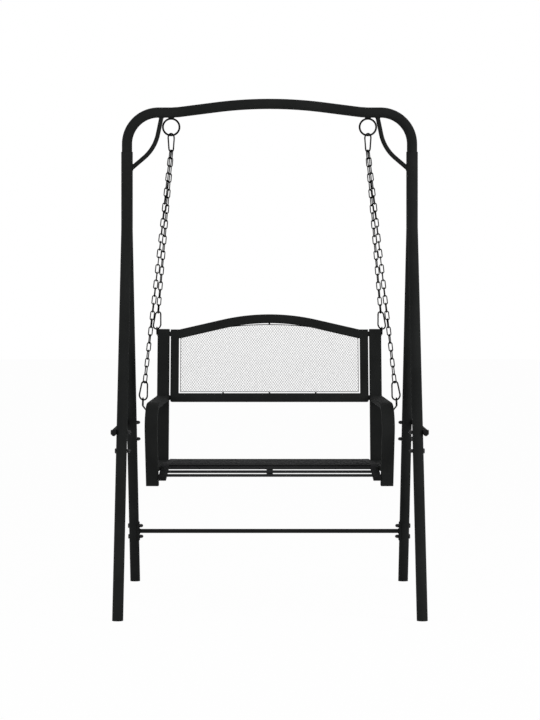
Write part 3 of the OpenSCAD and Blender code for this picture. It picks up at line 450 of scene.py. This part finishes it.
def makeLattice():
    wide, tall = lattice["cell"]
    count = 2 * math.ceil((back["halfWidth"] * 2 / wide + lattice["fill"] / tall) / 2)
    deselect()
    bpy.ops.mesh.primitive_grid_add(
        x_subdivisions=count, y_subdivisions=count, size=count, rotation=(0, 0, math.pi / 4)
    )
    obj = applyAll(bpy.context.object)
    obj.scale = (wide / math.sqrt(2), tall / math.sqrt(2), 1)
    applyAll(obj)
    obj.rotation_euler = (math.pi / 2, 0, 0)
    obj.location = (0, 0, lattice["middle"])
    applyAll(obj)
    bpy.ops.object.mode_set(mode="EDIT")
    trimToWire()
    bpy.ops.object.mode_set(mode="OBJECT")
    addModifier(obj, "WIREFRAME", thickness=lattice["strand"], use_even_offset=False, use_boundary=True)
    pick(obj)
    bpy.ops.object.mode_set(mode="EDIT")
    bpy.ops.mesh.select_all(action="SELECT")
    bpy.ops.transform.translate(value=(0, lattice["behind"], 0))
    bpy.ops.object.mode_set(mode="OBJECT")
    return placeOnBack(obj)


piece = makeLattice()
finishPiece(piece, "backLattice", "bench", wireBlack, ["mesh_panel"], smooth=0, outward=False)
print("lattice made:", len(piece.data.polygons), "faces")


border = {"radius": 0.0015, "roundness": 2}


def makeBorder():
    pick(wireOutline())
    bpy.ops.object.mode_set(mode="EDIT")
    bpy.ops.mesh.select_all(action="SELECT")
    bpy.ops.mesh.delete(type="ONLY_FACE")
    bpy.ops.object.mode_set(mode="OBJECT")
    bpy.ops.object.convert(target="CURVE")
    wire = bpy.context.object
    wire.data.bevel_depth = border["radius"]
    wire.data.bevel_resolution = border["roundness"]
    bpy.ops.object.convert(target="MESH")
    return placeOnBack(bpy.context.object)


piece = makeBorder()
finishPiece(piece, "backBorderWire", "bench", wireBlack, ["mesh_border"])
print("border wire made")


frameEdge = {
    "round": 0.0022,
    "roundness": 3,
    "corner": 0.006,
    "innerCorner": 0.0005,
    "cornerSteps": 6,
    "archSteps": 32,
}


def backShape(inset, corner):
    half = back["halfWidth"] - inset
    low = back["low"] + inset
    high = back["cornerHeight"] - inset
    reach = back["archRadius"] - inset
    shoulder = back["shoulder"] - inset * math.tan(archTurn / 2)
    lowCorner = []
    for step in range(frameEdge["cornerSteps"] + 1):
        turn = step * math.pi / (2 * frameEdge["cornerSteps"])
        lowCorner.append((corner * (1 - math.sin(turn)) - half, low + corner * (1 - math.cos(turn))))
    points = lowCorner + [(-half, high), (-shoulder, high)]
    for step in range(frameEdge["archSteps"] + 1):
        turn = archTurn * (2 * step / frameEdge["archSteps"] - 1)
        points.append((reach * math.sin(turn), archCentre + reach * math.cos(turn)))
    points += [(shoulder, high), (half, high)]
    return points + [(-x, z) for x, z in lowCorner[::-1]]


def makeBackFrame():
    curve = newCurve("backFrame", "2D", frameEdge["round"], frameEdge["roundness"])
    curve.fill_mode = "BOTH"
    outlines = (
        backShape(0, frameEdge["corner"]),
        backShape(back["face"], frameEdge["innerCorner"]),
    )
    for points in outlines:
        addLine(curve, [(x, z, 0) for x, z in points], closed=True)
    curve.offset = -frameEdge["round"]
    curve.extrude = back["depth"] / 2 - frameEdge["round"]
    obj = meshOf(curve)
    obj.rotation_euler = (math.pi / 2, 0, 0)
    return placeOnBack(applyAll(obj))


piece = makeBackFrame()
finishPiece(piece, "backFrame", "bench", coatBlack, ["back_frame"])
print("back frame made")


# seat slats

seat = {  # the slats lie flat, then follow the roll and run down at the front
    "rear": 0.097,
    "height": 0.507,
    "count": 12,
    "width": 0.020,
    "gap": 0.010,
    "thick": 0.002,
    "rollRadius": 0.110,
    "rollSlope": 22,  # degrees
    "frontRun": 0.079,
    "endX": 0.34215,
    "endY": 0.077,
    "splay": 4.49,  # degrees
    "edge": 0.0006,
    "edgeSteps": 2,
    "blank": 0.8,  # each slat before it is cut to the seat's sides
}


def seatPlace(along):
    slope = math.radians(seat["rollSlope"])
    rollLength = seat["rollRadius"] * slope
    length = seat["count"] * (seat["width"] + seat["gap"]) - seat["gap"]
    flat = length - rollLength - seat["frontRun"]
    turn = min(max(along - flat, 0) / rollLength, 1) * slope
    rest = max(along - flat - rollLength, 0)
    y = seat["rear"] - min(along, flat) - seat["rollRadius"] * math.sin(turn) - rest * math.cos(turn)
    z = seat["height"] - seat["rollRadius"] * (1 - math.cos(turn)) - rest * math.sin(turn)
    return y, z, turn


def makeSlats():
    made = []
    for at in range(seat["count"]):
        y, z, turn = seatPlace(at * (seat["width"] + seat["gap"]) + seat["width"] / 2)
        deselect()
        bpy.ops.mesh.primitive_cube_add(size=1)
        slat = bpy.context.object
        slat.scale = (seat["blank"], seat["width"], seat["thick"])
        slat.rotation_euler = (turn, 0, 0)
        half = seat["thick"] / 2
        slat.location = (0, y + half * math.sin(turn), z - half * math.cos(turn))
        made.append(applyAll(slat))
    obj = joinAll(made)
    splay = math.radians(seat["splay"])
    bpy.ops.object.mode_set(mode="EDIT")
    for side in (-1, 1):
        bpy.ops.mesh.select_all(action="SELECT")
        bpy.ops.mesh.bisect(
            plane_co=(side * seat["endX"], seat["endY"], 0),
            plane_no=(side * math.cos(splay), math.sin(splay), 0),
            clear_outer=True,
            use_fill=True,
        )
    bpy.ops.object.mode_set(mode="OBJECT")
    return addModifier(obj, "BEVEL", width=seat["edge"], segments=seat["edgeSteps"], limit_method="ANGLE")


piece = makeSlats()
# the slats wear the paler seat coat, painted light for their lit upward faces
finishPiece(piece, "seatSlats", "bench", seatBlackPaintedLight, ["seat_slats"], smooth=40)
print("slats made")


# the top bar as one bent tube

bar = {
    "height": 1.780,
    "radius": 0.01885,
    "legX": 0.521,
    "bottom": 1.516,
    "bend": 0.115,
    "kink": 0.345,
    "slope": 7.3,  # degrees
    "crown": 1.540,
    "straight": 0.03,  # the tube's point below the bend
    "soft": 0.012,  # half the length over which each kink is eased
    "easeAt": 0.3,
    "easeRise": 0.06,
    "bendSteps": 24,
    "crownSteps": 20,
    "roundness": 10,
}


def barPath():
    slope = math.radians(bar["slope"])
    top, kink, bend, soft = bar["height"], bar["kink"], bar["bend"], bar["soft"]
    points = [(-bar["legX"], bar["bottom"]), (-bar["legX"], top - bend - bar["straight"])]
    corner = bar["legX"] - bend
    for step in range(bar["bendSteps"] + 1):
        turn = step * math.pi / (2 * bar["bendSteps"])
        points.append((-corner - bend * math.cos(turn), top - bend * (1 - math.sin(turn))))
    near, rise = soft * bar["easeAt"], soft * bar["easeRise"]
    points.append((-kink - soft, top))
    points.append((-kink - near, top + rise))
    points.append((-kink + near, top + near * math.tan(slope) + rise))
    points.append((-kink + soft, top + soft * math.tan(slope)))
    crownHalf = bar["crown"] * math.sin(slope)
    crownLow = top + (kink - crownHalf) * math.tan(slope)
    for step in range(bar["crownSteps"] + 1):
        turn = slope * (step / bar["crownSteps"] - 1)
        rise = bar["crown"] * (math.cos(turn) - math.cos(slope))
        points.append((bar["crown"] * math.sin(turn), crownLow + rise))
    return points + [(-x, z) for x, z in points[:-1][::-1]]


def makeBar():
    curve = newCurve("bar", "3D", bar["radius"], bar["roundness"])
    curve.use_fill_caps = True
    addLine(curve, [(x, 0, z) for x, z in barPath()])
    return meshOf(curve)


finishPiece(makeBar(), "topBar", "stand", coatBlack, ["top_bar"], smooth=50)
print("top bar made")


# fasteners of the stand

stand = {  # sizes of the tubes that the fasteners and welds sit on
    "legX": 0.521,
    "legRadius": 0.019,
    "meetHeight": 1.452,
    "footHalf": 0.5475,
    "gap": 0.0002,
    "stretcherHeight": 0.630,
    "stretcherThick": 0.016,
    "legBoltHeight": 0.566,
    "crossbarHeight": 0.202,
    "saddlePitch": 0.043,
    "saddleThick": 0.003,
    "crossbarRadius": 0.008,
    "sleeveRadius": 0.0212,
}
fastener = {
    "head": 0.018,
    "headThick": 0.004,
    "headEdge": 0.0022,
    "headEdgeSteps": 5,
    "headSides": 36,
    "keyRadius": 0.0029,
    "keyDepth": 0.004,
    "nutWide": 0.013,
    "nutThick": 0.007,
    "nutEdge": 0.0007,
    "nutEdgeSteps": 3,
    "hexSides": 6,
    "dome": 0.006,
    "domeShare": 0.46,  # of the nut's width
    "domeSunk": 0.0005,
    "domeSegments": 28,
    "domeRings": 14,
}
nearly = 0.0001  # how close to the top a face counts as the top
legLean = math.atan(stand["footHalf"] / stand["meetHeight"])


def legY(height):
    return (stand["meetHeight"] - height) * math.tan(legLean)


stretcherSeat = stand["stretcherThick"] + stand["gap"]
saddleSeat = stand["saddleThick"] + stand["gap"]
boltPlaces = []  # side, depth, height, what lies under the head, what lies under the nut
for side in (-1, 1):
    for fore in (-1, 1):
        for height, outerSeat in ((stand["stretcherHeight"], stretcherSeat), (stand["legBoltHeight"], 0)):
            boltPlaces.append((side, fore * legY(height), height, outerSeat, 0))
    for step in (-0.5, 0.5):
        height = stand["crossbarHeight"] + step * stand["saddlePitch"]
        boltPlaces.append((side, legY(height), height, 0, saddleSeat))


def addDisc(sides, radius, thick, middle):
    deselect()
    bpy.ops.mesh.primitive_cylinder_add(vertices=sides, radius=radius, depth=thick, location=(0, 0, middle))
    return applyAll(bpy.context.object)


def makeDomeNut():
    wide, thick, sides = fastener["nutWide"], fastener["nutThick"], fastener["hexSides"]
    nut = addDisc(sides, wide / math.cos(math.pi / sides) / 2, thick, thick / 2)
    bpy.ops.object.mode_set(mode="EDIT")
    bpy.ops.mesh.select_all(action="SELECT")
    bpy.ops.mesh.bevel(offset=fastener["nutEdge"], segments=fastener["nutEdgeSteps"], affect="EDGES")
    bpy.ops.object.mode_set(mode="OBJECT")
    deselect()
    radius = wide * fastener["domeShare"]
    bpy.ops.mesh.primitive_uv_sphere_add(
        segments=fastener["domeSegments"], ring_count=fastener["domeRings"], radius=radius
    )
    dome = bpy.context.object
    bpy.ops.object.mode_set(mode="EDIT")
    bpy.ops.mesh.select_all(action="SELECT")
    bpy.ops.mesh.bisect(
        plane_co=(0, 0, -fastener["domeSunk"]), plane_no=(0, 0, 1), clear_inner=True, use_fill=True
    )
    bpy.ops.object.mode_set(mode="OBJECT")
    dome.scale.z = fastener["dome"] / radius
    dome.location.z = thick
    return joinAll([nut, applyAll(dome)])


def makeBoltHead():
    thick = fastener["headThick"]
    head = addDisc(fastener["headSides"], fastener["head"] / 2, thick, thick / 2)
    selectWhere(head, lambda centre: centre.z > thick - nearly)
    bpy.ops.mesh.bevel(offset=fastener["headEdge"], segments=fastener["headEdgeSteps"], affect="EDGES")
    bpy.ops.object.mode_set(mode="OBJECT")
    key = addDisc(fastener["hexSides"], fastener["keyRadius"], fastener["keyDepth"], thick)
    addModifier(head, "BOOLEAN", object=key, operation="DIFFERENCE")
    pick(key)
    bpy.ops.object.delete()
    return head


def scatter(source, places):
    copies = []
    for place, turn in places:
        pick(source)
        bpy.ops.object.duplicate()
        copy = bpy.context.object
        copy.rotation_euler = (0, turn, 0)
        copy.location = place
        copies.append(applyAll(copy))
    pick(source)
    bpy.ops.object.delete()
    return joinAll(copies)


quarter = math.pi / 2
heads, nuts = [], []
for side, y, z, outerSeat, innerSeat in boltPlaces:
    outer = stand["legX"] + stand["legRadius"] + outerSeat + stand["gap"]
    inner = stand["legX"] - stand["legRadius"] - innerSeat - stand["gap"]
    heads.append(((side * outer, y, z), side * quarter))
    nuts.append(((side * inner, y, z), -side * quarter))
piece = scatter(makeBoltHead(), heads)
finishPiece(piece, "standBoltHeads", "stand", boltDark, ["stand_bolts"])
piece = scatter(makeDomeNut(), nuts)
finishPiece(piece, "standDomeNuts", "stand", boltDark, ["stand_dome_nuts"])
print("fasteners made:", len(heads))


# weld beads of the stand

weld = {
    "radius": 0.0016,
    "roundness": 2,
    "ripple": 0.16,
    "pitch": 0.0022,
    "proud": 0.0006,
    "fewest": 8,  # ripples in half a loop
}
brace = {  # straight, bend and straight, from the bar down to the sleeve
    "topX": 0.3955,
    "lean": 11.8,  # degrees
    "straight": 0.0615,
    "bend": 0.155,
    "turn": 37.8,  # degrees
    "tube": 0.008,
}
ring = {"x": 0.3595, "bead": 0.011, "apart": 0.0042, "sunk": 0.0001, "fall": 0.0012, "steps": 5}


def beadAlong(points, closed):
    curve = newCurve("bead", "3D", weld["radius"], weld["roundness"])
    curve.use_fill_caps = True
    line = addLine(curve, points, closed)
    for at, dot in enumerate(line.points):
        dot.radius = 1 + weld["ripple"] * (1 if at % 2 else -1)
    return meshOf(curve)


def meetLoop(centre, axis, radius, core, coreAxis, coreRadius):  # where one tube enters another
    centre, core = Vector(centre), Vector(core)
    axis, coreAxis = Vector(axis).normalized(), Vector(coreAxis).normalized()
    across = axis.cross(coreAxis).normalized()
    up = axis.cross(across).normalized()
    steps = 2 * max(weld["fewest"], round(math.pi * radius / weld["pitch"]))
    points = []
    for step in range(steps):
        turn = 2 * math.pi * step / steps
        start = centre + radius * (math.cos(turn) * across + math.sin(turn) * up)
        offset = start - core
        flatStart = offset - offset.dot(coreAxis) * coreAxis
        flatAxis = axis - axis.dot(coreAxis) * coreAxis
        a = flatAxis.dot(flatAxis)
        b = 2 * flatAxis.dot(flatStart)
        c = flatStart.dot(flatStart) - coreRadius ** 2
        root = math.sqrt(max(b * b - 4 * a * c, 0))
        travel = min(((-b - root) / (2 * a), (-b + root) / (2 * a)), key=abs)
        points.append(start + travel * axis)
    return points


def ringStrip(side, fore):
    top = bar["height"] - bar["radius"] - ring["sunk"]
    points = []
    for step in range(2 * ring["steps"] + 1):
        along = step / ring["steps"] - 1
        points.append(
            (side * ring["x"] + ring["bead"] * along, fore * ring["apart"], top - ring["fall"] * along ** 2)
        )
    return points


braceLean = math.radians(brace["lean"])
braceTop = bar["height"] - bar["radius"]
lowLean = braceLean + math.radians(brace["turn"])
bendX = -brace["topX"] - brace["straight"] * math.sin(braceLean)
bendX -= brace["bend"] * (math.cos(braceLean) - math.cos(lowLean))
bendZ = braceTop - brace["straight"] * math.cos(braceLean)
bendZ -= brace["bend"] * (math.sin(lowLean) - math.sin(braceLean))
meetX = stand["sleeveRadius"] - stand["legX"]
meetZ = bendZ - (bendX - meetX) / math.tan(lowLean)
braceBead = brace["tube"] + weld["proud"]
crossbarBead = stand["crossbarRadius"] + weld["proud"]
saddleRadius = stand["legRadius"] + saddleSeat
crossbarY, crossbarZ = legY(stand["crossbarHeight"]), stand["crossbarHeight"]
beads = []
for side in (-1, 1):
    legX = side * stand["legX"]
    low = (-side * meetX, 0, meetZ)
    lowAxis = (-side * math.sin(lowLean), 0, math.cos(lowLean))
    beads.append(meetLoop(low, lowAxis, braceBead, (legX, 0, 0), (0, 0, 1), stand["sleeveRadius"]))
    high = (side * brace["topX"], 0, braceTop)
    highAxis = (-side * math.sin(braceLean), 0, math.cos(braceLean))
    beads.append(meetLoop(high, highAxis, braceBead, (0, 0, bar["height"]), (1, 0, 0), bar["radius"]))
    end = (legX - side * stand["legRadius"], crossbarY, crossbarZ)
    legAxis = (0, -math.sin(legLean), math.cos(legLean))
    beads.append(
        meetLoop(end, (1, 0, 0), crossbarBead, (legX, crossbarY, crossbarZ), legAxis, saddleRadius)
    )
strips = [ringStrip(side, fore) for side in (-1, 1) for fore in (-1, 1)]
made = [beadAlong(points, True) for points in beads] + [beadAlong(points, False) for points in strips]
piece = joinAll(made)
finishPiece(piece, "standWelds", "stand", coatBlack, smooth=60)
print("weld beads made:", len(made))


# finishes of the pieces that come from the frame

finishes = {
    # the seat's pieces take the paler coat, painted light for the light falling on them from above
    "seat": (seatBlackPaintedLight, ["seat_slats", "seat_rail", "seat_strap", "seat_beam", "centre_support"]),
    "wire": (wireBlack, ["chain", "hook", "gate", "eye_rings", "lugs", "mesh_border", "mesh_tabs"]),
    "plastic": (plasticBlack, ["plugs", "caps", "spacers"]),
}
for name, node in nodes.items():
    chosen = coatBlack
    for material, words in finishes.values():
        if any(word in name for word in words):
            chosen = material
    wear(node, chosen)
print("finishes given")
